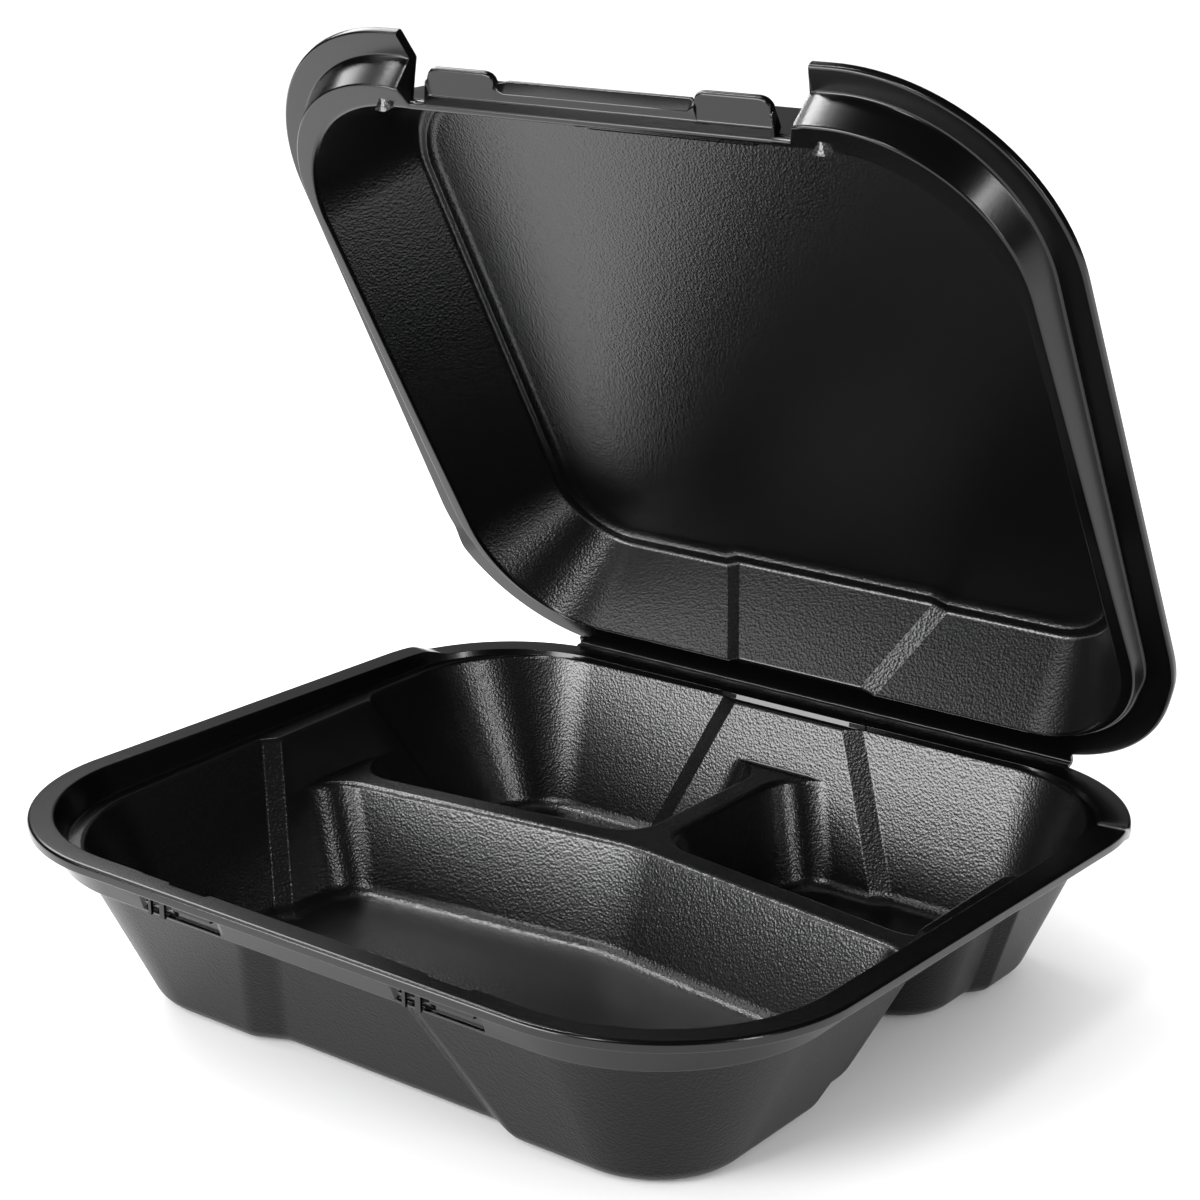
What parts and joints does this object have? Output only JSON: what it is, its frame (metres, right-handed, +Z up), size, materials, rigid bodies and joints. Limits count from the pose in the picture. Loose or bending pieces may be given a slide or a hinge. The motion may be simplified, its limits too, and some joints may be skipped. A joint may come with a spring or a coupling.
{
  "type": "foam clamshell container",
  "caption": "Square hinged foam food container with a divided tray, a stepped rim and a shallow lid closed by latch tabs.",
  "frame": {"origin": "middle of the front compartment's underside, on the surface the tray stands on", "axes": "+X to the right along the front, +Y back to the hinge, +Z up"},
  "size_m": [0.235, 0.228, 0.2367],
  "materials": {
    "foam": "satin"
  },
  "bodies": {
    "base": {"base_tray": "foam"},
    "lid": {"lid": "foam"}
  },
  "joints": [
    {"name": "lid_hinge", "type": "hinge", "parent": "base", "child": "lid", "pos_m": [0, 0.14, 0.04715], "axis": [-1, 0, 0], "range_deg": [-60.6, 119.4]}
  ]
}
